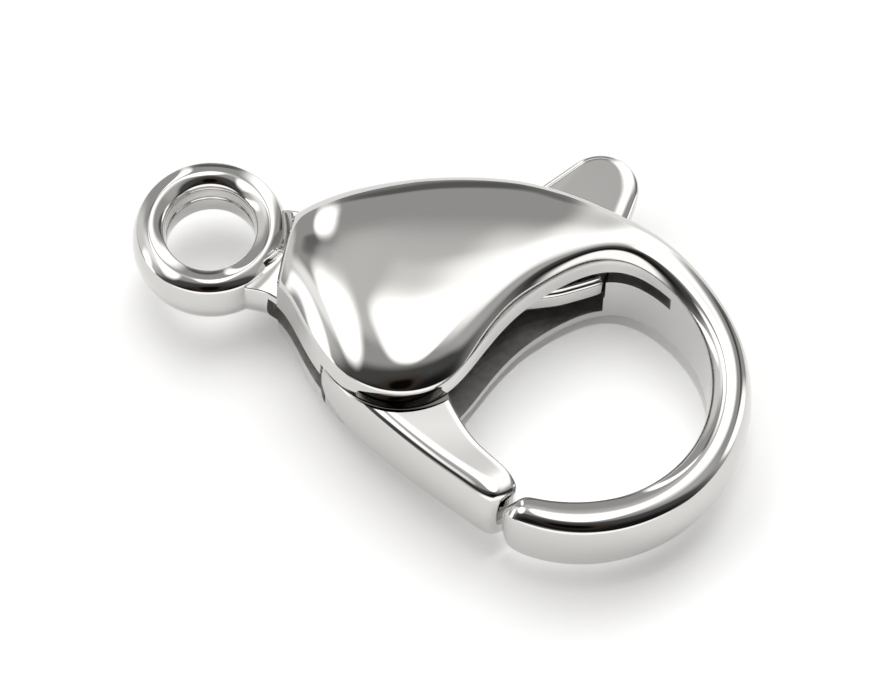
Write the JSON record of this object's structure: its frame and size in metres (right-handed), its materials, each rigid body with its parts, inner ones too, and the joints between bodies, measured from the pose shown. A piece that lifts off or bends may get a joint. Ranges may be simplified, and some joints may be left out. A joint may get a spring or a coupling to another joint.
{
  "type": "lobster clasp",
  "caption": "Polished lobster clasp with a domed teardrop housing, a swept hook, a sprung gate lever with a thumb tab, and an end ring.",
  "frame": {"origin": "centre of the end ring's bore, at mid thickness", "axes": "+X along the clasp from the end ring to the far end of the hook; +Y across it towards the thumb tab; +Z along the ring's bore, up from the face the clasp lies on"},
  "size_m": [0.0234, 0.0149, 0.0059],
  "materials": {
    "polished_casting": "mirror polished",
    "polished_lever": "mirror polished",
    "pin_steel": "ground"
  },
  "bodies": {
    "body": {"body": "polished_casting", "pivot_pin": "pin_steel"},
    "lever": {"lever": "polished_lever"}
  },
  "joints": [
    {"name": "lever_hinge", "type": "hinge", "parent": "body", "child": "lever", "pos_m": [0.00797, -0.00068, 0], "axis": [0, 0, 1], "range_deg": [0, 26], "stiffness_Nm_per_rad": 0.006, "springref_deg": -51.57}
  ]
}
